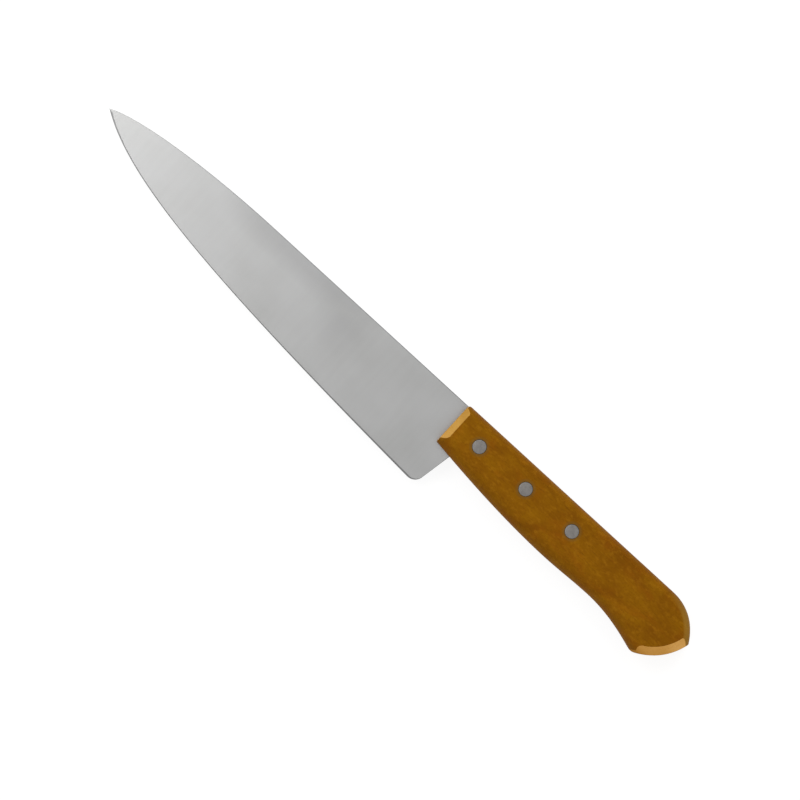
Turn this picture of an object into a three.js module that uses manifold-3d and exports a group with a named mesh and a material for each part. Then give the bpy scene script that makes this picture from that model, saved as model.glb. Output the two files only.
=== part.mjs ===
// A kitchen knife for fish, with a broad triangular blade and a plain wooden handle, in millimetres.
// The blade is stamped from sheet steel and ground to a wedge. It runs back as a half tang into a saw
// slot in the one-piece handle, and three two-piece rivets go through the handle and the tang.
// While it is built, x = 0 is the handle's front, with the butt towards +x and the tip towards -x,
// y = 0 is the straight spine, with the cutting edge towards -y, and z = 0 is the blade's mid-plane.
import * as THREE from "three";
import { mergeVertices, toCreasedNormals } from "three/addons/utils/BufferGeometryUtils.js";
import Module from "manifold-3d";

const wasm = await Module();
wasm.setup();
const degrees = THREE.MathUtils.degToRad;

// Blade outline. An ease is how far a curve's end tangent reaches, and so how slowly it starts to bend.
const bladeLength = 178.8; // tip to the handle's front
const tipDrop = 8.8; // tip below the spine line
const spineRun = 101.1; // straight spine ahead of the handle
const spineEase = 28.4;
const spineTipEase = 14.4;
const spineTipFall = degrees(25); // the spine's slope at the tip
const heelDepth = 35.9; // the heel's sharp corner below the spine line
const heelSetback = 4.6; // the heel's sharp corner behind the handle's front
const heelLean = degrees(10.6); // the heel leans back towards the handle
const heelRadius = 4.4;
const edgeRise = degrees(2.88); // the cutting edge's slope at the heel
const edgeEase = 111.9;
const edgeTipEase = 25.9;
const edgeTipRise = degrees(34.05); // the cutting edge's slope at the tip

// Blade section
const sheetThickness = 1.5;
const edgeThickness = 0.5; // what the grind leaves at the heel's corner and at the tip
const bevelAngle = degrees(17); // each side of the cutting bevel
const edgeLand = 0.06; // the width of the edge itself

// Tang and its slot
const tangStart = 0.4; // full sheet thickness begins this far behind the handle's front
const tangPastRivets = 10; // tang behind the last rivet's centre
const tangInset = 0.6; // tang's lower side above the handle's lower edge
const slotClearance = 0.1; // on each side of the tang
const slotEndClearance = 1; // behind the tang

// Handle outline. Along the lower edge, the eases are shares of the stretch that they start or end.
const handleLength = 124;
const handleThickness = 16;
const handleRise = 0.55; // the handle's back above the spine line
const frontDepth = 18.2; // the front's lower corner below the spine line
const frontFall = degrees(8); // the lower edge's slope at the front
const frontEase = 0.27;
const frontTopRadius = 1.2;
const bellyPlace = 0.484; // the deepest point of the grip, as a share of the handle's length
const bellyDepth = 23;
const bellyFrontEase = 0.35;
const bellyRearEase = 0.36;
const waistPlace = 0.665; // the waist, as a share of the handle's length
const waistDepth = 22.35;
const waistFrontEase = 0.38;
const waistRearEase = 0.42;
const cornerToButt = 14.7; // the butt's lower corner ahead of the butt
const cornerDepth = 27.5;
const cornerFall = degrees(17.5); // the lower edge's slope at that corner
const cornerEase = 0.24;
const cornerRadius = 4;
const buttRise = degrees(27.2); // the end curve's slope at that corner
const buttTop = degrees(76.4); // the end curve's slope at the beak
const buttEase = 7.7;
const beakDrop = 10.4; // the beak, the butt's rear point, below the spine line
const beakFall = degrees(60); // the back's slope at the beak
const beakEase = 8;
const backFall = 18; // the back starts to fall this far ahead of the butt
const backEase = 8;

// Handle edges
const backRound = 2.9; // how far the back's rounding reaches onto the sides
const backLand = 6.4; // flat width left along the back
const bellyRound = 5.6; // how far the lower edge's rounding reaches onto the sides
const bellyLand = 4; // flat width left along the lower edge
const frontChamfer = 2.6; // width of the flat chamfer at the front
const buttChamfer = 3.3; // and of the one along the butt's end curve
const chamferRise = 1.3; // their depth

// Rivets
const rivetNames = ["front", "middle", "rear"];
const rivetSetback = 13.6; // the front rivet's centre behind the handle's front
const rivetPitch = 24.05;
const rivetDepth = 8.65; // their centres below the spine line
const headDiameter = 5.6;
const headThickness = 1.4;
const headChamfer = 0.25;
const tubeDiameter = 4;
const boreDiameter = 2.8;
const rivetClearance = 0.1; // round the heads and tubes in their holes
const seatClearance = 0.05; // under each head
const shankClearance = 0.05; // round the shank in its tube
const tubeEndClearance = 0.5; // between a tube's end and the head opposite
const shankEndClearance = 0.5; // between a shank's end and the floor of its tube

// Fineness of the curves and the reach of the blocks that trim the shapes
const curveSteps = 16;
const roundSteps = 6;
const turnSteps = 32;
const creaseAngle = degrees(30);
const reach = 60;

// Places worked out from the sizes
const tip = new THREE.Vector2(-bladeLength, -tipDrop);
const heel = new THREE.Vector2(heelSetback, -heelDepth);
const heelTop = new THREE.Vector2(heelSetback + heelDepth * Math.tan(heelLean), 0);
const beak = new THREE.Vector2(handleLength, -beakDrop);
const corner = new THREE.Vector2(handleLength - cornerToButt, -cornerDepth);
const cornerReach = cornerRadius * Math.tan((cornerFall + buttRise) / 2);
const backEnd = new THREE.Vector2(handleLength - backFall, handleRise);
const frontTop = new THREE.Vector2(0, handleRise);
const rivetPlaces = rivetNames.map((name, i) => new THREE.Vector2(rivetSetback + i * rivetPitch, -rivetDepth));
const tangEnd = rivetPlaces.at(-1).x + tangPastRivets;

// Directions of travel along the outlines, as angles from +x
const backward = 0;
const forward = Math.PI;
const up = Math.PI / 2;
const down = -Math.PI / 2;

function along(point, angle, distance) {
  return new THREE.Vector2(point.x + Math.cos(angle) * distance, point.y + Math.sin(angle) * distance);
}

function lineThrough(path, ...points) {
  points.forEach((p) => path.lineTo(p.x, p.y));
}

// Adds a curve that leaves the path's end at one angle and arrives at a point at another.
function easeTo(path, leave, leaveEase, end, arrive, arriveEase) {
  const first = along(path.currentPoint, leave, leaveEase);
  const second = along(end, arrive, -arriveEase);
  path.bezierCurveTo(first.x, first.y, second.x, second.y, end.x, end.y);
}

// Adds a line to a sharp corner and rounds it off on the way to the next stretch.
function roundCorner(path, sharp, arrive, leave, radius) {
  const turn = Math.atan2(Math.sin(leave - arrive), Math.cos(leave - arrive));
  const side = (Math.sign(turn) * Math.PI) / 2;
  const start = along(sharp, arrive, -radius * Math.tan(Math.abs(turn) / 2));
  const centre = along(start, arrive + side, radius);
  path.absarc(centre.x, centre.y, radius, arrive - side, leave - side, turn < 0);
}

function drawSpine(path) {
  easeTo(path, spineTipFall, spineTipEase, new THREE.Vector2(-spineRun, 0), backward, spineEase);
}

function drawEdge(path) {
  easeTo(path, forward - edgeRise, edgeEase, tip, forward - edgeTipRise, edgeTipEase);
}

// The handle's lower edge from front to rear corner. A lift moves it up, towards the tang.
function drawBelly(path, lift) {
  const belly = new THREE.Vector2(bellyPlace * handleLength, lift - bellyDepth);
  const waist = new THREE.Vector2(waistPlace * handleLength, lift - waistDepth);
  const end = along(corner, backward - cornerFall, -cornerReach);
  end.y += lift;
  const grip = belly.x;
  const hollow = waist.x - belly.x;
  const flare = end.x - waist.x;
  easeTo(path, backward - frontFall, frontEase * grip, belly, backward, bellyFrontEase * grip);
  easeTo(path, backward, bellyRearEase * hollow, waist, backward, waistFrontEase * hollow);
  easeTo(path, backward, waistRearEase * flare, end, backward - cornerFall, cornerEase * flare);
}

function drawButt(path) {
  easeTo(path, buttRise, buttEase, beak, buttTop, buttEase);
}

function bladeShape() {
  const shape = new THREE.Shape();
  shape.moveTo(tip.x, tip.y);
  drawSpine(shape);
  lineThrough(shape, heelTop);
  roundCorner(shape, heel, down - heelLean, forward - edgeRise, heelRadius);
  drawEdge(shape);
  return shape;
}

// Everything above the cutting edge, which runs straight on past the heel and the tip.
function edgeShape() {
  const shape = new THREE.Shape();
  const behind = along(heel, forward - edgeRise, -reach);
  const ahead = along(tip, forward - edgeTipRise, reach);
  const start = along(heel, forward - edgeRise, heelRadius);
  shape.moveTo(behind.x, behind.y);
  lineThrough(shape, start);
  drawEdge(shape);
  lineThrough(shape, ahead, new THREE.Vector2(ahead.x, reach), new THREE.Vector2(behind.x, reach));
  return shape;
}

function tangShape() {
  const shape = new THREE.Shape();
  shape.moveTo(tangStart, 0);
  lineThrough(shape, new THREE.Vector2(tangEnd, 0));
  lineThrough(shape, new THREE.Vector2(tangEnd, -reach), new THREE.Vector2(tangStart, -reach));
  return shape;
}

function handleShape() {
  const shape = new THREE.Shape();
  shape.moveTo(0, -frontDepth);
  drawBelly(shape, 0);
  roundCorner(shape, corner, backward - cornerFall, buttRise, cornerRadius);
  drawButt(shape);
  easeTo(shape, Math.PI - beakFall, beakEase, backEnd, forward, backEase);
  roundCorner(shape, frontTop, forward, down, frontTopRadius);
  return shape;
}

// Everything under the handle's back, which runs straight on past the front and the beak.
function backShape() {
  const shape = new THREE.Shape();
  const behind = along(beak, backward - beakFall, reach);
  shape.moveTo(-reach, handleRise);
  lineThrough(shape, backEnd);
  easeTo(shape, backward, backEase, beak, backward - beakFall, beakEase);
  lineThrough(shape, behind, new THREE.Vector2(-reach, behind.y));
  return shape;
}

// Everything above the handle's lower edge, which runs straight on past the front and the rear corner.
function bellyShape(lift) {
  const shape = new THREE.Shape();
  const front = new THREE.Vector2(0, lift - frontDepth);
  const ahead = along(front, backward - frontFall, -reach);
  shape.moveTo(ahead.x, ahead.y);
  lineThrough(shape, front);
  drawBelly(shape, lift);
  const behind = along(shape.currentPoint, backward - cornerFall, reach);
  lineThrough(shape, behind, new THREE.Vector2(behind.x, reach), new THREE.Vector2(ahead.x, reach));
  return shape;
}

// Everything behind the handle's front.
function frontShape() {
  const shape = new THREE.Shape();
  const behind = handleLength + reach;
  shape.moveTo(0, reach);
  lineThrough(shape, new THREE.Vector2(0, -reach));
  lineThrough(shape, new THREE.Vector2(behind, -reach), new THREE.Vector2(behind, reach));
  return shape;
}

// Everything ahead of the butt's end curve, which runs straight on past its ends.
function buttShape() {
  const shape = new THREE.Shape();
  const under = along(corner, buttRise, -reach);
  const over = along(beak, buttTop, reach);
  shape.moveTo(-reach, over.y);
  lineThrough(shape, new THREE.Vector2(-reach, under.y), under, along(corner, buttRise, cornerReach));
  drawButt(shape);
  lineThrough(shape, over);
  return shape;
}

function toSolid(geometry) {
  geometry.deleteAttribute("normal");
  geometry.deleteAttribute("uv");
  const merged = mergeVertices(geometry);
  const vertProperties = merged.attributes.position.array;
  const triVerts = new Uint32Array(merged.index.array);
  return new wasm.Manifold(new wasm.Mesh({ numProp: 3, vertProperties, triVerts }));
}

function toGeometry(solid) {
  const mesh = solid.getMesh();
  const geometry = new THREE.BufferGeometry();
  geometry.setAttribute("position", new THREE.BufferAttribute(mesh.vertProperties, 3));
  geometry.setIndex(new THREE.BufferAttribute(mesh.triVerts, 1));
  return toCreasedNormals(geometry, creaseAngle);
}

// A flat slab about z = 0. Its rim is eased inwards by a run, down to a land at the middle of its
// thickness: in one step that is a chamfer, and in more it is a rounding.
function slab(shape, thickness, run = 0, land = thickness, steps = 1) {
  const geometry = new THREE.ExtrudeGeometry(shape, {
    depth: land,
    curveSegments: curveSteps,
    bevelEnabled: run > 0,
    bevelSize: run,
    bevelOffset: -run,
    bevelThickness: (thickness - land) / 2,
    bevelSegments: steps,
  });
  geometry.translate(0, 0, -land / 2);
  return toSolid(geometry);
}

function disc(place, diameter, low, high) {
  const geometry = new THREE.CylinderGeometry(diameter / 2, diameter / 2, high - low, turnSteps);
  geometry.rotateX(up);
  geometry.translate(place.x, place.y, (low + high) / 2);
  return toSolid(geometry);
}

// The half-space under one ground face of the blade, as a large block. The face passes through the
// full sheet thickness on the spine at the handle and the edge thickness at the heel and the tip.
function grindBlock(side) {
  const spinePoint = new THREE.Vector3(0, 0, (side * sheetThickness) / 2);
  const heelPoint = new THREE.Vector3(heel.x, heel.y, (side * edgeThickness) / 2);
  const tipPoint = new THREE.Vector3(tip.x, tip.y, (side * edgeThickness) / 2);
  const face = new THREE.Plane().setFromCoplanarPoints(spinePoint, tipPoint, heelPoint);
  const outward = face.normal.multiplyScalar(side);
  const size = 2 * (bladeLength + reach);
  const geometry = new THREE.BoxGeometry(size, size, reach);
  geometry.translate(0, 0, -reach / 2);
  geometry.applyQuaternion(new THREE.Quaternion().setFromUnitVectors(new THREE.Vector3(0, 0, 1), outward));
  geometry.translate(spinePoint.x, spinePoint.y, spinePoint.z);
  return toSolid(geometry);
}

function bladeSolid() {
  const bevelRun = (sheetThickness - edgeLand) / 2 / Math.tan(bevelAngle);
  const ground = slab(bladeShape(), sheetThickness)
    .intersect(grindBlock(1))
    .intersect(grindBlock(-1))
    .intersect(slab(edgeShape(), sheetThickness, bevelRun, edgeLand));
  const tang = slab(tangShape(), sheetThickness).intersect(slab(bellyShape(tangInset), sheetThickness));
  const holes = rivetPlaces.map((place) =>
    disc(place, tubeDiameter + 2 * rivetClearance, -sheetThickness, sheetThickness),
  );
  return holes.reduce((solid, hole) => solid.subtract(hole), ground.add(tang));
}

function slotSolid() {
  const length = tangEnd + slotEndClearance + reach;
  const geometry = new THREE.BoxGeometry(length, 2 * reach, sheetThickness + 2 * slotClearance);
  geometry.translate(length / 2 - reach, 0, 0);
  return toSolid(geometry);
}

// The hole for one rivet: a bore for the tube, and a counterbore for the head on each side.
function rivetHole(place) {
  const floor = handleThickness / 2 - headThickness - seatClearance;
  const headHole = headDiameter + 2 * rivetClearance;
  return disc(place, tubeDiameter + 2 * rivetClearance, -handleThickness, handleThickness)
    .add(disc(place, headHole, floor, handleThickness))
    .add(disc(place, headHole, -handleThickness, -floor));
}

function handleSolid() {
  const block = slab(handleShape(), handleThickness)
    .intersect(slab(backShape(), handleThickness, backRound, backLand, roundSteps))
    .intersect(slab(bellyShape(0), handleThickness, bellyRound, bellyLand, roundSteps))
    .intersect(slab(frontShape(), handleThickness, frontChamfer, handleThickness - 2 * chamferRise))
    .intersect(slab(buttShape(), handleThickness, buttChamfer, handleThickness - 2 * chamferRise))
    .subtract(slotSolid());
  return rivetPlaces.reduce((solid, place) => solid.subtract(rivetHole(place)), block);
}

// A round piece turned about z from a profile of radii and heights.
function turned(profile) {
  const points = profile.map(([radius, height]) => new THREE.Vector2(radius, height));
  const geometry = new THREE.LatheGeometry(points, turnSteps);
  geometry.rotateX(up);
  return toCreasedNormals(geometry, creaseAngle);
}

// The lower half of a rivet: a head with a tube that takes the other half's shank.
function femaleGeometry() {
  const top = handleThickness / 2;
  const headRadius = headDiameter / 2;
  const tubeEnd = top - headThickness - tubeEndClearance;
  return turned([
    [0, -top],
    [headRadius - headChamfer, -top],
    [headRadius, headChamfer - top],
    [headRadius, headThickness - top],
    [tubeDiameter / 2, headThickness - top],
    [tubeDiameter / 2, tubeEnd],
    [boreDiameter / 2, tubeEnd],
    [boreDiameter / 2, headThickness - top],
    [0, headThickness - top],
  ]);
}

// The upper half of a rivet: a head with a plain shank.
function maleGeometry() {
  const top = handleThickness / 2;
  const headRadius = headDiameter / 2;
  const shankRadius = boreDiameter / 2 - shankClearance;
  const shankEnd = headThickness + shankEndClearance - top;
  return turned([
    [0, shankEnd],
    [shankRadius, shankEnd],
    [shankRadius, top - headThickness],
    [headRadius, top - headThickness],
    [headRadius, top - headChamfer],
    [headRadius - headChamfer, top],
    [0, top],
  ]);
}

function named(name, geometry, material) {
  const mesh = new THREE.Mesh(geometry, material);
  mesh.name = name;
  return mesh;
}

const steel = new THREE.MeshStandardMaterial({ color: 0xbfc0c0, roughness: 0.38, metalness: 1 });
const wood = new THREE.MeshStandardMaterial({ color: 0x885808, roughness: 0.5, metalness: 0 });
const aluminium = new THREE.MeshStandardMaterial({ color: 0x8c8a86, roughness: 0.4, metalness: 1 });

const knife = new THREE.Group();
knife.add(named("blade", toGeometry(bladeSolid()), steel));
knife.add(named("handle", toGeometry(handleSolid()), wood));
rivetPlaces.forEach((place, i) => {
  const rivet = new THREE.Group();
  rivet.position.set(place.x, place.y, 0);
  rivet.add(named(`rivet_${rivetNames[i]}_female`, femaleGeometry(), aluminium));
  rivet.add(named(`rivet_${rivetNames[i]}_male`, maleGeometry(), aluminium));
  knife.add(rivet);
});

// The finished knife lies on its side, with its origin under the middle of its box.
const box = new THREE.Box3().setFromObject(knife);
const middle = box.getCenter(new THREE.Vector3());
knife.position.set(-middle.x, -middle.y, -box.min.z);

const part = new THREE.Group();
part.add(knife);
export default part;
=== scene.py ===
"""A kitchen knife for fish, with a satin steel blade, a stained wooden handle and three dull rivets.

Everything is in metres. The pieces are modelled in the knife's own coordinates, and their objects stand
at its origin: x = 0 is the handle's front, with the butt towards +x and the tip towards -x, y = 0 is the
straight spine, with the cutting edge towards -y, and z = 0 is the blade's mid-plane.
"""
import math

import bpy
import numpy as np
from mathutils import Matrix, Vector


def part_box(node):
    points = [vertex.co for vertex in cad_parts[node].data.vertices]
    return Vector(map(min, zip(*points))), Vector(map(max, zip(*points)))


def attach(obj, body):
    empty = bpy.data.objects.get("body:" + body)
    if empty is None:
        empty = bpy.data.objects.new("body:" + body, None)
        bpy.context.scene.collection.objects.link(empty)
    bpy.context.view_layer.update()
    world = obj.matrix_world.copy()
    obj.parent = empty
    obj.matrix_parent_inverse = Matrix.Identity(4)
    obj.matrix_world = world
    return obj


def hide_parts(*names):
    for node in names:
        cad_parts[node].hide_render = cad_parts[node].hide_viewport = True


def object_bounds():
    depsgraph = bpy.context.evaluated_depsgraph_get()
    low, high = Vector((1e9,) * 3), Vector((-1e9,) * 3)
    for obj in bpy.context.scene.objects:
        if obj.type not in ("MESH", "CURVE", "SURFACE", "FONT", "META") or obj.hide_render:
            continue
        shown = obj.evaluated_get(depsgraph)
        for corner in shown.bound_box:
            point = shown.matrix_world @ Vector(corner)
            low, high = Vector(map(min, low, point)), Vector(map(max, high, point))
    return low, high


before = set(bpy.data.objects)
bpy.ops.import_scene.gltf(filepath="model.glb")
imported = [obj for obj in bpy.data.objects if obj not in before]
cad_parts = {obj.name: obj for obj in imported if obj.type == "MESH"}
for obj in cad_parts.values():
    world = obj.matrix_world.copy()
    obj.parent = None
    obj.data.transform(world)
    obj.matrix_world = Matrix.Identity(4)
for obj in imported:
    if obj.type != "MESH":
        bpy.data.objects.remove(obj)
cad_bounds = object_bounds()

MM = 0.001
RIVETS = ("front", "middle", "rear")

# Sizes and places read from the frame
handle_low, handle_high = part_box("handle")
blade_low, blade_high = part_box("blade")
head_low, head_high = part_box("rivet_front_male")
handle_length = handle_high.x - handle_low.x
handle_thickness = handle_high.z - handle_low.z
half_handle = handle_thickness / 2
sheet_thickness = blade_high.z - blade_low.z
blade_length = handle_low.x - blade_low.x
tang_end = blade_high.x - handle_low.x
head_radius = (head_high.x - head_low.x) / 2
knife_origin = Vector((handle_low.x, blade_high.y, handle_low.z + half_handle))
rivet_places = []
for rivet in RIVETS:
    low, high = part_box(f"rivet_{rivet}_male")
    rivet_places.append(np.array(((low + high) / 2 - knife_origin).xy))

# Blade outline. An ease is how far a curve's end tangent reaches.
tip_drop = 8.8 * MM
spine_run = 101.1 * MM
spine_ease = 28.4 * MM
spine_tip_ease = 14.4 * MM
spine_tip_fall = math.radians(25)
heel_depth = 35.9 * MM
heel_setback = 4.6 * MM
heel_lean = math.radians(10.6)
heel_radius = 4.4 * MM
edge_rise = math.radians(2.88)
edge_ease = 111.9 * MM
edge_tip_ease = 25.9 * MM
edge_tip_rise = math.radians(34.05)

# Blade section
edge_thickness = 0.5 * MM  # what the grind leaves at the heel's corner and at the tip
bevel_angle = math.radians(17)
edge_land = 0.06 * MM
sheet_rounding = 0.26 * MM  # on the blade's and the tang's long edges, where the sheet is thick enough
rounding_share = 0.4  # of half the thickness, where the blade is too thin for that
edge_bulge = 0.2  # how far a rounded edge stands out from its chord, as a share of its width
tip_taper = 3 * MM  # the spine thins over this length
tip_wall_share = 0.1  # what that leaves of its wall at the tip
tip_bevel = 0.05 * MM  # the cutting bevel's width at the tip
tip_bevel_growth = 0.35  # how fast it widens from there
tang_start = 0.4 * MM
tang_inset = 0.6 * MM

# Handle outline. Along the lower edge, the eases are shares of the stretch that they start or end.
handle_rise = handle_high.y - blade_high.y
front_depth = 18.2 * MM
front_fall = math.radians(8)
front_ease = 0.27
belly_place = 0.484 * handle_length
belly_depth = 23 * MM
belly_front_ease = 0.35
belly_rear_ease = 0.36
waist_place = 0.665 * handle_length
waist_depth = 22.35 * MM
waist_front_ease = 0.38
waist_rear_ease = 0.42
corner_to_butt = 14.7 * MM
corner_depth = 27.5 * MM
corner_fall = math.radians(17.5)
corner_ease = 0.24
butt_rise = math.radians(27.2)
butt_top = math.radians(76.4)
butt_ease = 7.7 * MM
beak_drop = 10.4 * MM
beak_fall = math.radians(60)
beak_ease = 8 * MM
back_fall = 18 * MM
back_ease = 8 * MM

# Handle edges
back_round = 2.9 * MM
back_land = 6.4 * MM
belly_round = 5.6 * MM
belly_land = 4 * MM
front_chamfer = 2.6 * MM
butt_chamfer = 3.3 * MM
chamfer_rise = 1.3 * MM
chamfer_wear = 0.16 * MM  # softens the chamfers' outer rims
corner_radii = np.array([4, 0.5, 1.2, 0.5]) * MM  # rear lower, beak, front upper, front lower
mitre_radius = 0.4 * MM  # what those corners come down to on the sides
side_overrun = 8 * MM  # lets neighbouring sides cross once they are set in
butt_corner = np.array([handle_length - corner_to_butt, -corner_depth])
corner_reach = corner_radii[0] * math.tan((corner_fall + butt_rise) / 2)

# Slot and rivets
slot_clearance = 0.03 * MM
slot_end_clearance = 1 * MM  # behind the tang
slot_half = sheet_thickness / 2 + slot_clearance
slot_end = tang_end + slot_end_clearance
head_thickness = 1.4 * MM
head_rounding = 0.25 * MM
head_crown = 0.05 * MM
head_face = ((0, 0), (0.35, 0.12), (0.7, 0.5))  # shares of the rim's radius and of the crown lost there
tube_radius = 2 * MM
bore_radius = 1.4 * MM
shank_radius = 1.35 * MM
tube_gap = 0.5 * MM
rivet_clearance = 0.1 * MM
head_clearance = 0.03 * MM
seat_clearance = 0.05 * MM  # under each head
hole_rim = 0.1 * MM  # width of the worn rim of each rivet hole

BACKWARD, FORWARD = 0, math.pi
LOWER, BUTT, BACK, FRONT = range(4)  # the handle's sides
HONED = 1  # the blade's second material, which its rims have
CREASE, BLADE_CREASE = 40, 12  # angles in degrees beyond which an edge shades as sharp

# How finely things are drawn
FINE = 0.5 * MM  # spacing of the points that describe an outline
BLADE_SPACING = 1 * MM
HEEL_SPACING = 2 * MM
CURVE_POINTS = 200
SIDE_POINTS = (150, 36, 150, 24)
CORNER_STEPS = 8
HEEL_STEPS = 16
TANG_STRIDE = 8
ROUNDING_LEVELS = 15
WEAR_LEVELS = 7
WEAR_REACH = 1.5  # how far those levels go on each side of a worn rim, in widths of the wear
RIM_POINTS = 7
TURN_STEPS = 72
PARALLEL = 1e-18  # cross product, in square metres, below which two segments count as parallel


# Outlines, as arrays of points in the plane of the blade

def along(point, angle, distance):
    return np.asarray(point) + distance * np.array([math.cos(angle), math.sin(angle)])


def ease(start, leave, leave_ease, end, arrive, arrive_ease):
    """A curve that leaves one point at one angle and arrives at another point at another angle."""
    first, second = along(start, leave, leave_ease), along(end, arrive, -arrive_ease)
    t = np.linspace(0, 1, CURVE_POINTS)[:, None]
    return (1 - t) ** 3 * start + 3 * (1 - t) ** 2 * t * first + 3 * (1 - t) * t**2 * second + t**3 * end


def arc(centre, radius, start, end, steps):
    angles = np.linspace(start, end, steps + 1)
    return centre + radius * np.stack([np.cos(angles), np.sin(angles)], axis=1)


def even(*runs, spacing=FINE):
    """One polyline through runs that follow on, with evenly spaced points."""
    points = np.vstack(runs)
    length = np.append(0, np.cumsum(np.linalg.norm(np.diff(points, axis=0), axis=1)))
    places = np.linspace(0, length[-1], max(2, round(length[-1] / spacing) + 1))
    return np.stack([np.interp(places, length, points[:, k]) for k in range(2)], axis=1)


def left_normals(points):
    step = np.gradient(points, axis=0)
    step /= np.linalg.norm(step, axis=1)[:, None]
    return np.stack([-step[:, 1], step[:, 0]], axis=1)


def at(points, places):
    """Points of a polyline at fractional indices."""
    indices = np.arange(len(points))
    return np.stack([np.interp(places, indices, points[:, k]) for k in range(2)], axis=-1)


def crossing(a, b):
    """The fractional indices at which two polylines cross."""
    start = b[None, :-1] - a[:-1, None]
    run_a, run_b = np.diff(a, axis=0)[:, None], np.diff(b, axis=0)[None]
    turn = run_a[..., 0] * run_b[..., 1] - run_a[..., 1] * run_b[..., 0]
    turn = np.where(abs(turn) < PARALLEL, np.nan, turn)
    on_a = (start[..., 0] * run_b[..., 1] - start[..., 1] * run_b[..., 0]) / turn
    on_b = (start[..., 0] * run_a[..., 1] - start[..., 1] * run_a[..., 0]) / turn
    i, j = np.argwhere((on_a >= 0) & (on_a <= 1) & (on_b >= 0) & (on_b <= 1))[0]
    return i + on_a[i, j], j + on_b[i, j]


def extended(points, distance):
    """A polyline that runs straight on past both its ends."""
    before = points[0] + (points[0] - points[1]) / np.linalg.norm(points[0] - points[1]) * distance
    after = points[-1] + (points[-1] - points[-2]) / np.linalg.norm(points[-1] - points[-2]) * distance
    return even(before[None], points, after[None])


def belly_curve(lift=0):
    """The handle's lower edge from front to rear, moved up by a lift."""
    rise = np.array([0, lift])
    front = rise + [0, -front_depth]
    belly = rise + [belly_place, -belly_depth]
    waist = rise + [waist_place, -waist_depth]
    end = rise + along(butt_corner, BACKWARD - corner_fall, -corner_reach)
    grip, hollow, flare = belly[0], waist[0] - belly[0], end[0] - waist[0]
    return np.vstack([
        ease(front, BACKWARD - front_fall, front_ease * grip, belly, BACKWARD, belly_front_ease * grip),
        ease(belly, BACKWARD, belly_rear_ease * hollow, waist, BACKWARD, waist_front_ease * hollow),
        ease(waist, BACKWARD, waist_rear_ease * flare, end, BACKWARD - corner_fall, corner_ease * flare),
    ])


def handle_sides():
    """The handle's four sides anticlockwise: lower edge, butt, back and front. Inwards is to the left."""
    butt_start = along(butt_corner, butt_rise, corner_reach)
    beak = np.array([handle_length, -beak_drop])
    back_end = np.array([handle_length - back_fall, handle_rise])
    butt = ease(butt_start, butt_rise, butt_ease, beak, butt_top, butt_ease)
    fall = ease(beak, FORWARD - beak_fall, beak_ease, back_end, FORWARD, back_ease)
    back = np.vstack([fall, [[0, handle_rise]]])
    front = np.array([[0, handle_rise], [0, -front_depth]])
    return [extended(side, side_overrun) for side in (belly_curve(), butt, back, front)]


# Meshes

def new_piece(name, mesh, materials):
    """An object at the knife's origin that moves with its one body."""
    for material in materials:
        mesh.materials.append(material)
    piece = bpy.data.objects.new(name, mesh)
    bpy.context.scene.collection.objects.link(piece)
    piece.location = knife_origin
    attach(piece, "root")
    return piece


def mesh_of(name, vertices, faces, face_materials=None):
    mesh = bpy.data.meshes.new(name)
    mesh.from_pydata([tuple(v) for v in vertices], [], faces)
    if face_materials is not None:
        mesh.polygons.foreach_set("material_index", face_materials)
    mesh.validate()
    mesh.update()
    return mesh


def stacked(name, loops, column_materials=None):
    """A closed mesh through loops of equally many points, from the top face down to the bottom one."""
    count = len(loops[0])
    faces = [list(range(count))]
    materials = [0]
    for row in range(len(loops) - 1):
        for i in range(count):
            j = (i + 1) % count
            upper, lower = row * count, (row + 1) * count
            faces.append([upper + j, upper + i, lower + i, lower + j])
            materials.append(column_materials[i] if column_materials is not None else 0)
    last = (len(loops) - 1) * count
    faces.append([last + i for i in reversed(range(count))])
    materials.append(0)
    return mesh_of(name, np.vstack(loops), faces, materials)


def turned(name, profile, place=(0, 0)):
    """A closed round mesh about z, from radii and heights that start and end on the axis."""
    vertices, faces = [], []
    inner = profile[1:-1]
    for radius, height in inner:
        for turn in np.linspace(0, 2 * math.pi, TURN_STEPS, endpoint=False):
            vertices.append((place[0] + radius * math.cos(turn), place[1] + radius * math.sin(turn), height))
    for row in range(len(inner) - 1):
        for i in range(TURN_STEPS):
            j = (i + 1) % TURN_STEPS
            low, high = row * TURN_STEPS, (row + 1) * TURN_STEPS
            faces.append([low + i, low + j, high + j, high + i])
    for row, (_, height), flip in ((0, profile[0], True), (len(inner) - 1, profile[-1], False)):
        middle = len(vertices)
        vertices.append((place[0], place[1], height))
        for i in range(TURN_STEPS):
            pair = [row * TURN_STEPS + i, row * TURN_STEPS + (i + 1) % TURN_STEPS]
            faces.append([*(reversed(pair) if flip else pair), middle])
    return mesh_of(name, vertices, faces)


def combine(piece, mesh, operation):
    """Cuts a mesh out of a piece, or joins it on."""
    tool = bpy.data.objects.new("tool", mesh)
    bpy.context.scene.collection.objects.link(tool)
    tool.location = knife_origin
    modifier = piece.modifiers.new("combine", "BOOLEAN")
    modifier.operation = operation
    modifier.solver = "EXACT"
    modifier.object = tool
    graph = bpy.context.evaluated_depsgraph_get()
    result = bpy.data.meshes.new_from_object(piece.evaluated_get(graph))
    piece.modifiers.clear()
    piece.data = result
    bpy.data.objects.remove(tool)


def finish_surface(piece, crease):
    """Smooth shading that keeps flats flat and breaks at edges sharper than the crease angle."""
    for polygon in piece.data.polygons:
        polygon.use_smooth = True
    piece.data.set_sharp_from_angle(angle=math.radians(crease))
    normals = piece.modifiers.new("even normals", "WEIGHTED_NORMAL")
    normals.keep_sharp = True


# Handle

def rounding_inset(height, run, land):
    """How far a rounded edge stands in from the outline at a height above the mid-plane."""
    share = np.clip((height - land / 2) / (half_handle - land / 2), 0, 1)
    return run * (1 - math.sqrt(1 - share**2))


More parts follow.
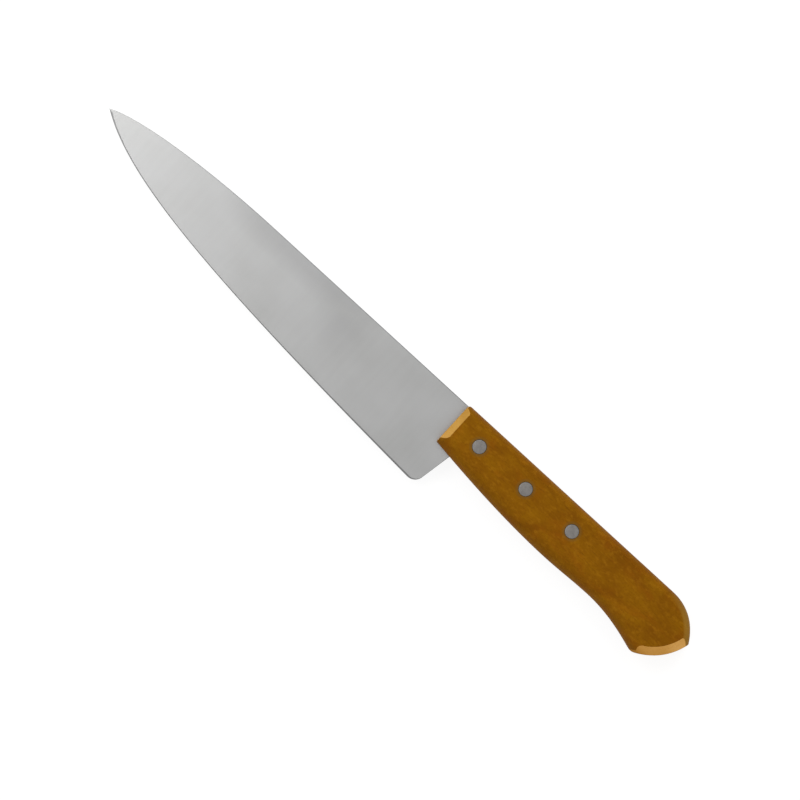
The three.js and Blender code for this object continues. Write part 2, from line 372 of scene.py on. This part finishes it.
def chamfer_inset(height, run):
    reach = run * (1 - (half_handle - height) / chamfer_rise)
    return (reach + math.hypot(reach, chamfer_wear)) / 2


def handle_loop(sides, height):
    """The handle's outline at a height: its points, and for each the side that it belongs to."""
    level = abs(height)
    insets = [
        rounding_inset(level, belly_round, belly_land),
        chamfer_inset(level, butt_chamfer),
        rounding_inset(level, back_round, back_land),
        chamfer_inset(level, front_chamfer),
    ]
    share = min(1, insets[BUTT] / butt_chamfer)
    radii = corner_radii * (1 - share) + mitre_radius * share
    normals = [left_normals(side) for side in sides]

    corners = []
    for k in range(4):
        n = (k + 1) % 4
        shifted = sides[k] + normals[k] * (insets[k] + radii[k])
        shifted_next = sides[n] + normals[n] * (insets[n] + radii[k])
        leave, arrive = crossing(shifted, shifted_next)
        corners.append((leave, arrive, at(shifted, leave)))

    points, owners = [], []
    for k, count in enumerate(SIDE_POINTS):
        start, stop = corners[k - 1][1], corners[k][0]
        places = np.linspace(start, stop, count)
        points.append(at(sides[k], places) + at(normals[k], places) * insets[k])
        owners += [k] * count
        leave, arrive, centre = corners[k]
        n = (k + 1) % 4
        outward = -at(normals[k], leave)
        outward_next = -at(normals[n], arrive)
        first = math.atan2(outward[1], outward[0])
        turn = math.atan2(outward_next[1], outward_next[0]) - first
        turn = math.atan2(math.sin(turn), math.cos(turn))
        rounded = arc(centre, radii[k], first, first + turn, CORNER_STEPS)[1:-1]
        points.append(rounded)
        # Two sides share the corner between them, but the butt has all of its lower one.
        own = 0 if k == LOWER else len(rounded) // 2
        owners += [k] * own + [n] * (len(rounded) - own)
    points = np.vstack(points)
    return np.column_stack([points, np.full(len(points), height)]), owners


def build_handle(stained, bare):
    sides = handle_sides()
    rim = half_handle - chamfer_rise
    turns = np.linspace(0, math.pi / 2, ROUNDING_LEVELS)
    rounding = half_handle - (half_handle - belly_land / 2) * (1 - np.cos(turns))
    wear = rim + chamfer_wear * np.linspace(-WEAR_REACH, WEAR_REACH, WEAR_LEVELS)
    upper = np.unique(np.round(np.concatenate([rounding, wear, [back_land / 2]]), 7))[::-1]
    heights = [*upper, *(-upper[::-1])]
    loops = [handle_loop(sides, height) for height in heights]
    ends = [int(owner in (BUTT, FRONT)) for owner in loops[0][1]]
    mesh = stacked("knife_handle", [points for points, owner in loops], ends)
    handle = new_piece("knife_handle", mesh, [stained, bare])

    far = half_handle * 2
    saw = [(-far, -4 * far), (slot_end, -4 * far), (slot_end, far), (-far, far)]
    slot = stacked("slot", [[(x, y, slot_half) for x, y in saw], [(x, y, -slot_half) for x, y in saw]])
    combine(handle, slot, "DIFFERENCE")
    seat = half_handle - head_thickness - seat_clearance
    hole = head_radius + head_clearance
    half_profile = [
        (hole + far / 2 + hole_rim, half_handle + far / 2),
        (hole, half_handle - hole_rim),
        (hole, seat),
        (tube_radius + rivet_clearance, seat),
    ]
    profile = [(0, -half_profile[0][1])]
    profile += [(radius, -height) for radius, height in half_profile]
    profile += half_profile[::-1]
    profile += [(0, half_profile[0][1])]
    for place in rivet_places:
        combine(handle, turned("hole", profile, place), "DIFFERENCE")
    finish_surface(handle, CREASE)
    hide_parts("handle")


# Blade

def grind(points):
    """Half the blade's thickness where the grind leaves it: full on the spine at the handle, thin below."""
    full, thin = sheet_thickness / 2, edge_thickness / 2
    places = np.array([[heel_setback, -heel_depth], [-blade_length, -tip_drop]])
    slope = np.linalg.solve(places, np.array([thin - full, thin - full]))
    return np.minimum(full, full + np.asarray(points) @ slope)


def sheet(name, outline, insets, walls, roundness, half):
    """A plate with eased, honed rims. Each outline point has its rim's width, wall and roundness."""
    inwards = left_normals(np.vstack([outline[-1], outline, outline[0]]))[1:-1]
    bulge = edge_bulge * roundness
    face = outline + inwards * insets[:, None]
    easing = outline + inwards * insets[:, None] * (0.5 - bulge[:, None])
    heights = half(face)
    eased = walls + (heights - walls) * (0.5 + bulge)
    upper = [(face, heights), (easing, eased), (outline, walls)]
    loops = [np.column_stack([points, z]) for points, z in upper]
    loops += [np.column_stack([points, -z]) for points, z in reversed(upper)]
    return stacked(name, loops, [HONED] * len(outline))


def blade_outline():
    """The blade anticlockwise from its tip: the cutting edge, the heel's corner, the heel and the spine."""
    tip = np.array([-blade_length, -tip_drop])
    heel = np.array([heel_setback, -heel_depth])
    heel_top = np.array([heel_setback + heel_depth * math.tan(heel_lean), 0])
    upward = math.pi / 2 - heel_lean
    turn = upward - (BACKWARD - edge_rise)
    reach = heel_radius * math.tan(turn / 2)
    edge_end = along(heel, BACKWARD - edge_rise, -reach)
    centre = along(edge_end, math.pi / 2 - edge_rise, heel_radius)
    edge_start = along(heel, FORWARD - edge_rise, heel_radius)
    curve = ease(edge_start, FORWARD - edge_rise, edge_ease, tip, FORWARD - edge_tip_rise, edge_tip_ease)
    edge = even(curve[::-1], edge_end[None], spacing=BLADE_SPACING)
    corner = arc(centre, heel_radius, -math.pi / 2 - edge_rise, upward - math.pi / 2, HEEL_STEPS)
    heel_line = even(corner[-1:], heel_top[None], spacing=HEEL_SPACING)
    straight = np.array([-spine_run, 0])
    curve = ease(tip, spine_tip_fall, spine_tip_ease, straight, BACKWARD, spine_ease)
    spine = even(heel_top[None], curve[::-1], spacing=BLADE_SPACING)
    return edge, corner[1:], heel_line[1:], spine[1:-1]


def build_blade(satin, honed):
    edge, corner, heel_line, spine = blade_outline()
    outline = np.vstack([edge, corner, heel_line, spine])
    bevel = (grind(edge) - edge_land / 2) / math.tan(bevel_angle)
    to_tip = np.linalg.norm(edge - edge[0], axis=1)
    bevel = np.minimum(bevel, tip_bevel + tip_bevel_growth * to_tip)
    fade = np.linspace(1, 0, len(corner) + 1)[1:]
    rest = np.vstack([heel_line, spine])
    taper = np.clip(np.linalg.norm(rest - edge[0], axis=1) / tip_taper, tip_wall_share, 1)
    corner_rounding = np.minimum(sheet_rounding, rounding_share * grind(corner))
    rest_rounding = np.minimum(sheet_rounding, rounding_share * grind(rest))
    insets = np.concatenate([
        bevel,
        bevel[-1] * fade + corner_rounding * (1 - fade),
        rest_rounding * taper,
    ])
    walls = np.concatenate([
        np.full(len(edge), edge_land / 2),
        edge_land / 2 * fade + (grind(corner) - corner_rounding) * (1 - fade),
        (grind(rest) - rest_rounding) * taper,
    ])
    roundness = np.concatenate([np.zeros(len(edge)), 1 - fade, np.ones(len(rest))])
    mesh = sheet("knife_blade", outline, insets, walls, roundness, grind)
    blade = new_piece("knife_blade", mesh, [satin, honed])

    lower = belly_curve(tang_inset)
    lower = lower[(lower[:, 0] > tang_start) & (lower[:, 0] < tang_end)]
    ends = [[tang_end, lower[-1, 1]], [tang_end, 0], [tang_start, 0], [tang_start, lower[0, 1]]]
    tang = np.vstack([lower[::TANG_STRIDE], ends])
    count = len(tang)
    full = np.full(count, sheet_thickness / 2)
    rounding = np.full(count, sheet_rounding)
    plate = sheet("tang", tang, rounding, full - sheet_rounding, np.ones(count), lambda points: full)
    for material in (satin, honed):
        plate.materials.append(material)
    combine(blade, plate, "UNION")
    radius = tube_radius + rivet_clearance
    past = sheet_thickness
    profile = [(0, -past), (radius, -past), (radius, past), (0, past)]
    for place in rivet_places:
        combine(blade, turned("hole", profile, place), "DIFFERENCE")
    finish_surface(blade, BLADE_CREASE)
    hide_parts("blade")


# Rivets

def head_profile():
    """Radii and heights of a rivet's head from the middle of its face to its rim's underside."""
    rim = head_radius - head_rounding
    middle = half_handle - head_crown - head_rounding
    face = [(rim * across, half_handle - head_crown * lost) for across, lost in head_face]
    angles = np.linspace(math.pi / 2, 0, RIM_POINTS)
    edge = [(rim + head_rounding * math.cos(a), middle + head_rounding * math.sin(a)) for a in angles]
    return [*face, *edge, (head_radius, half_handle - head_thickness)]


def build_rivets(aluminium):
    seat = half_handle - head_thickness
    head = head_profile()
    shank_end = head_thickness + tube_gap - half_handle
    male = [(0, shank_end), (shank_radius, shank_end), (shank_radius, seat), *reversed(head)]
    female = [(radius, -height) for radius, height in head]
    female += [(tube_radius, -seat), (tube_radius, seat - tube_gap), (bore_radius, seat - tube_gap)]
    female += [(bore_radius, -seat), (0, -seat)]
    for rivet, place in zip(RIVETS, rivet_places):
        for half, profile in (("male", male), ("female", female)):
            name = f"rivet_{rivet}_{half}"
            piece = new_piece(f"knife_{name}", turned(name, profile, place), [aluminium])
            finish_surface(piece, CREASE)
            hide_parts(name)


# Materials. Their textures use the knife's own coordinates, so they stay put in the material.

class Shader:
    """A material whose nodes are added with their inputs, which are values or other nodes' outputs."""

    def __init__(self, name):
        self.material = bpy.data.materials.new(name)
        self.material.use_nodes = True
        self.tree = self.material.node_tree
        self.surface = self.tree.nodes["Principled BSDF"]
        coordinates = self.node("ShaderNodeTexCoord")
        self.place = coordinates.outputs["Object"]
        self.normal = coordinates.outputs["Normal"]
        axes = self.node("ShaderNodeSeparateXYZ", {"Vector": self.place})
        self.x, self.y = axes.outputs["X"], axes.outputs["Y"]

    def node(self, kind, inputs=None, **settings):
        node = self.tree.nodes.new(kind)
        for key, value in settings.items():
            setattr(node, key, value)
        self.feed(node, inputs or {})
        return node

    def feed(self, node, inputs):
        for key, value in inputs.items():
            if isinstance(value, bpy.types.NodeSocket):
                self.tree.links.new(value, node.inputs[key])
            else:
                node.inputs[key].default_value = value

    def noise(self, size, detail, roughness=0.5, distortion=0):
        """Noise from 0 to 1 whose blobs are about one size long in each direction."""
        scale = tuple(1 / length for length in size)
        place = self.node("ShaderNodeMapping", {"Vector": self.place, "Scale": scale}).outputs["Vector"]
        inputs = {"Vector": place, "Scale": 1, "Detail": detail}
        inputs |= {"Roughness": roughness, "Distortion": distortion}
        return self.node("ShaderNodeTexNoise", inputs).outputs["Fac"]

    def ramp(self, value, low, high, bottom=0, top=1):
        """Takes a value from one range to another, with nothing beyond its ends."""
        inputs = {"Value": value, "From Min": low, "From Max": high, "To Min": bottom, "To Max": top}
        return self.node("ShaderNodeMapRange", inputs, clamp=True).outputs["Result"]

    def math(self, operation, first, second):
        return self.node("ShaderNodeMath", {0: first, 1: second}, operation=operation).outputs[0]

    def mix(self, factor, first, second):
        inputs = {0: factor, 6: first, 7: second}
        return self.node("ShaderNodeMix", inputs, data_type="RGBA").outputs[2]

    def vector(self, operation, first, second, output):
        return self.node("ShaderNodeVectorMath", {0: first, 1: second}, operation=operation).outputs[output]

    def distance(self, place):
        """Distance from the line along z through a place."""
        flat = self.vector("MULTIPLY", self.place, (1, 1, 0), "Vector")
        return self.vector("DISTANCE", flat, (*place, 0), "Value")

    def bump(self, height, depth, strength):
        inputs = {"Height": height, "Distance": depth, "Strength": strength}
        return self.node("ShaderNodeBump", inputs).outputs["Normal"]

    def finish(self, inputs):
        self.feed(self.surface, inputs)
        return self.material


def colour(red, green, blue):
    """A colour given as the eight-bit values that it shows as."""
    levels = np.array([red, green, blue]) / 255
    linear = np.where(levels <= 0.04045, levels / 12.92, ((levels + 0.055) / 1.055) ** 2.4)
    return (*linear, 1)


def stained_wood():
    wood = Shader("stained wood")
    tone = wood.noise((15 * MM, 8 * MM, 8 * MM), detail=4, distortion=0.6)
    warm = wood.noise((9 * MM, 5 * MM, 5 * MM), detail=3)
    fibre = wood.noise((9 * MM, 0.7 * MM, 0.7 * MM), detail=5, roughness=0.65)
    fleck = wood.noise((2.2 * MM, 1.4 * MM, 1.4 * MM), detail=4, roughness=0.6)
    mottle = wood.noise((1.1 * MM, 0.8 * MM, 0.8 * MM), detail=3)
    pore = wood.noise((4 * MM, 0.3 * MM, 0.3 * MM), detail=2)
    shade = wood.mix(wood.ramp(tone, 0.34, 0.66), colour(112, 67, 1), colour(128, 83, 2))
    shade = wood.mix(wood.ramp(warm, 0.5, 0.75, 0, 0.35), shade, colour(132, 68, 5))
    shade = wood.mix(wood.ramp(fleck, 0.5, 0.76, 0, 0.5), shade, colour(152, 102, 16))
    shade = wood.mix(wood.ramp(mottle, 0.5, 0.3, 0, 0.4), shade, colour(104, 60, 2))
    shade = wood.mix(wood.ramp(fibre, 0.3, 0.5, 0.12, 0), shade, colour(92, 50, 2))
    pores = wood.ramp(pore, 0.62, 0.74, 0, 0.4)
    shade = wood.mix(pores, shade, colour(70, 38, 2))
    # Painted highlight: the colour is lighter where the rounded arc above the butt faces up and back.
    rearward = wood.ramp(wood.vector("DOT_PRODUCT", wood.normal, (0.7, 0.7, 0), "Value"), 0.1, 0.55)
    painted_arc_highlight = wood.math("MULTIPLY", rearward, wood.ramp(wood.x, 105 * MM, 115 * MM, 0, 0.5))
    shade = wood.mix(painted_arc_highlight, shade, colour(148, 112, 42))
    # Painted shade: the colour is darker and greyer in a ring around each rivet.
    nearest = wood.distance(rivet_places[0])
    for place in rivet_places[1:]:
        nearest = wood.math("MINIMUM", nearest, wood.distance(place))
    shade = wood.mix(wood.ramp(nearest, 2.9 * MM, 4.2 * MM, 0.6, 0), shade, colour(96, 74, 36))
    height = wood.math("SUBTRACT", wood.ramp(fibre, 0.2, 0.8), pores)
    return wood.finish({
        "Base Color": shade,
        "Roughness": wood.ramp(fleck, 0.3, 0.7, 0.5, 0.62),
        "Specular IOR Level": 0.04,
        "Normal": wood.bump(height, 0.05 * MM, 0.35),
    })


def bare_wood():
    wood = Shader("bare wood")
    fibre = wood.noise((0.9 * MM, 0.5 * MM, 0.5 * MM), detail=4, roughness=0.6)
    broad = wood.noise((6 * MM, 5 * MM, 5 * MM), detail=3)
    front = wood.mix(wood.ramp(broad, 0.35, 0.68), colour(172, 128, 56), colour(186, 142, 68))
    front = wood.mix(wood.ramp(wood.y, -11 * MM, -17 * MM, 0, 0.8), front, colour(196, 148, 78))
    butt = wood.mix(wood.ramp(broad, 0.35, 0.68), colour(194, 144, 72), colour(208, 158, 88))
    butt = wood.mix(wood.ramp(wood.y, -13 * MM, -24 * MM, 0, 0.7), butt, colour(172, 120, 44))
    butt = wood.mix(wood.ramp(wood.y, -23.5 * MM, -27.5 * MM, 0, 0.8), butt, colour(150, 96, 20))
    shade = wood.mix(wood.ramp(wood.x, 20 * MM, 60 * MM), front, butt)
    shade = wood.mix(wood.ramp(fibre, 0.5, 0.3, 0, 0.35), shade, colour(170, 112, 44))
    return wood.finish({
        "Base Color": shade,
        "Roughness": wood.ramp(fibre, 0.3, 0.7, 0.7, 0.6),
        "Specular IOR Level": 0.04,
        "Normal": wood.bump(fibre, 0.06 * MM, 0.3),
    })


def satin_steel():
    steel = Shader("satin steel")
    cloud = steel.noise((34 * MM, 22 * MM, 22 * MM), detail=2)
    line = steel.noise((0.25 * MM, 22 * MM, 22 * MM), detail=3, roughness=0.7)
    streak = steel.noise((2.4 * MM, 30 * MM, 30 * MM), detail=3)
    shade = steel.mix(steel.ramp(cloud, 0.3, 0.7), colour(155, 155, 154), colour(162, 162, 162))
    shade = steel.mix(steel.ramp(streak, 0.35, 0.65, 0, 0.15), shade, colour(168, 168, 168))
    # A duller band under the middle of the spine, with a duller patch towards the handle
    starts, ends = steel.ramp(steel.x, -128 * MM, -105 * MM), steel.ramp(steel.x, -45 * MM, -65 * MM)
    band = steel.math("MULTIPLY", starts, ends)
    band = steel.math("MULTIPLY", band, steel.ramp(steel.y, -10 * MM, -3 * MM, 0, 0.4))
    patch = steel.ramp(steel.distance((-57 * MM, -10 * MM)), 2 * MM, 12 * MM, 0.3, 0)
    shade = steel.mix(steel.math("MAXIMUM", band, patch), shade, colour(136, 136, 136))
    rough = steel.math("ADD", steel.ramp(cloud, 0.3, 0.7, 0.34, 0.4), steel.ramp(line, 0.3, 0.7, -0.03, 0.03))
    return steel.finish({
        "Base Color": shade,
        "Metallic": 1,
        "Roughness": rough,
        "Normal": steel.bump(line, 0.01 * MM, 0.1),
    })


def honed_steel():
    steel = Shader("honed steel")
    line = steel.noise((0.12 * MM, 3 * MM, 3 * MM), detail=3, roughness=0.7)
    shade = steel.mix(steel.ramp(line, 0.3, 0.7), colour(110, 110, 110), colour(128, 128, 128))
    # Lighter towards the tip: a painted highlight.
    shade = steel.mix(steel.ramp(steel.x, -135 * MM, -165 * MM, 0, 0.7), shade, colour(152, 152, 152))
    return steel.finish({
        "Base Color": shade,
        "Metallic": 1,
        "Roughness": steel.ramp(line, 0.3, 0.7, 0.26, 0.36),
        "Normal": steel.bump(line, 0.01 * MM, 0.08),
    })


def dull_aluminium():
    metal = Shader("dull aluminium")
    cloud = metal.noise((1.6 * MM, 1.6 * MM, 1.6 * MM), detail=4)
    scratch = metal.noise((6 * MM, 0.12 * MM, 2 * MM), detail=3, roughness=0.7)
    shade = metal.mix(metal.ramp(cloud, 0.3, 0.7), colour(112, 109, 107), colour(127, 124, 121))
    return metal.finish({
        "Base Color": shade,
        "Metallic": 1,
        "Roughness": metal.ramp(scratch, 0.3, 0.7, 0.38, 0.5),
        "Normal": metal.bump(scratch, 0.01 * MM, 0.2),
    })


# Studio

FLOOR_HALF = 4
FLOOR_GAP = 0.1 * MM  # under the knife
FLOOR_BOUNCE = 0.8  # the floor's paleness for the rays that light the knife
FLOOR_SHADE, FLOOR_GLOW = 0.18, 0.87  # seen directly, it glows, and only this paleness of it takes shadows
WORLD_LIGHT, WORLD_SEEN = 0.7, 1


def grey(level):
    return (level, level, level, 1)


def seen_directly(tree):
    """1 for rays from the camera or a mirror or through glass, and 0 for those that light things."""
    path = tree.nodes.new("ShaderNodeLightPath")
    total = path.outputs["Is Camera Ray"]
    for name in ("Is Glossy Ray", "Is Transmission Ray"):
        add = tree.nodes.new("ShaderNodeMath")
        add.operation = "MAXIMUM"
        tree.links.new(total, add.inputs[0])
        tree.links.new(path.outputs[name], add.inputs[1])
        total = add.outputs[0]
    return total


def build_floor():
    shader = Shader("white floor")
    tree = shader.tree
    pale = shader.node("ShaderNodeBsdfDiffuse", {"Color": grey(FLOOR_BOUNCE)})
    shadow = shader.node("ShaderNodeBsdfDiffuse", {"Color": grey(FLOOR_SHADE)})
    glow = shader.node("ShaderNodeEmission", {"Color": grey(1), "Strength": FLOOR_GLOW})
    white = shader.node("ShaderNodeAddShader", {0: shadow.outputs[0], 1: glow.outputs[0]})
    inputs = {0: seen_directly(tree), 1: pale.outputs[0], 2: white.outputs[0]}
    mix = shader.node("ShaderNodeMixShader", inputs)
    tree.links.new(mix.outputs[0], tree.nodes["Material Output"].inputs["Surface"])
    half = FLOOR_HALF
    low = cad_bounds[0][2] - FLOOR_GAP
    corners = [(-half, -half, low), (half, -half, low), (half, half, low), (-half, half, low)]
    mesh = mesh_of("floor", corners, [[0, 1, 2, 3]])
    mesh.materials.append(shader.material)
    floor = bpy.data.objects.new("floor", mesh)
    bpy.context.scene.collection.objects.link(floor)


def build_world():
    world = bpy.data.worlds.new("studio")
    bpy.context.scene.world = world
    world.use_nodes = True
    tree = world.node_tree
    background = tree.nodes["Background"]
    background.inputs["Color"].default_value = grey(1)
    level = tree.nodes.new("ShaderNodeMapRange")
    level.inputs["To Min"].default_value = WORLD_LIGHT
    level.inputs["To Max"].default_value = WORLD_SEEN
    tree.links.new(seen_directly(tree), level.inputs["Value"])
    tree.links.new(level.outputs["Result"], background.inputs["Strength"])


def build_lamp(name, place, size, power, mirrored):
    """A soft square lamp aimed at the middle of the knife. It is seen only in reflections, if at all."""
    light = bpy.data.lights.new(name, "AREA")
    light.size = size
    light.energy = power
    lamp = bpy.data.objects.new(name, light)
    lamp.location = place
    lamp.rotation_euler = (-Vector(place)).to_track_quat("-Z", "Y").to_euler()
    lamp.visible_camera = False
    lamp.visible_glossy = mirrored
    bpy.context.scene.collection.objects.link(lamp)


def build_camera():
    """Looks square down on the knife from far off, turned so that the tip is up to the left."""
    cosine, sine = 0.73728, 0.67559  # of the knife's turn in the picture
    right = Vector((cosine, sine, 0))
    above = Vector((-sine, cosine, 0))
    middle = knife_origin + Vector((-21, -15.98, 0)) * MM
    distance = 12
    picture_width = 307 * MM
    data = bpy.data.cameras.new("camera")
    data.lens = data.sensor_width * distance / picture_width
    camera = bpy.data.objects.new("camera", data)
    turn = Matrix((right, above, Vector((0, 0, 1)))).transposed()
    camera.matrix_world = Matrix.Translation(middle + Vector((0, 0, distance))) @ turn.to_4x4()
    bpy.context.scene.collection.objects.link(camera)
    bpy.context.scene.camera = camera


build_camera()
build_blade(satin_steel(), honed_steel())
build_handle(stained_wood(), bare_wood())
build_rivets(dull_aluminium())
build_floor()
build_world()
build_lamp("key", place=(-0.15, 1.0, 0.95), size=0.9, power=8, mirrored=False)
build_lamp("tip", place=(-0.3, 0, 0.5), size=0.3, power=0.95, mirrored=True)
bpy.context.scene.view_settings.view_transform = "Standard"
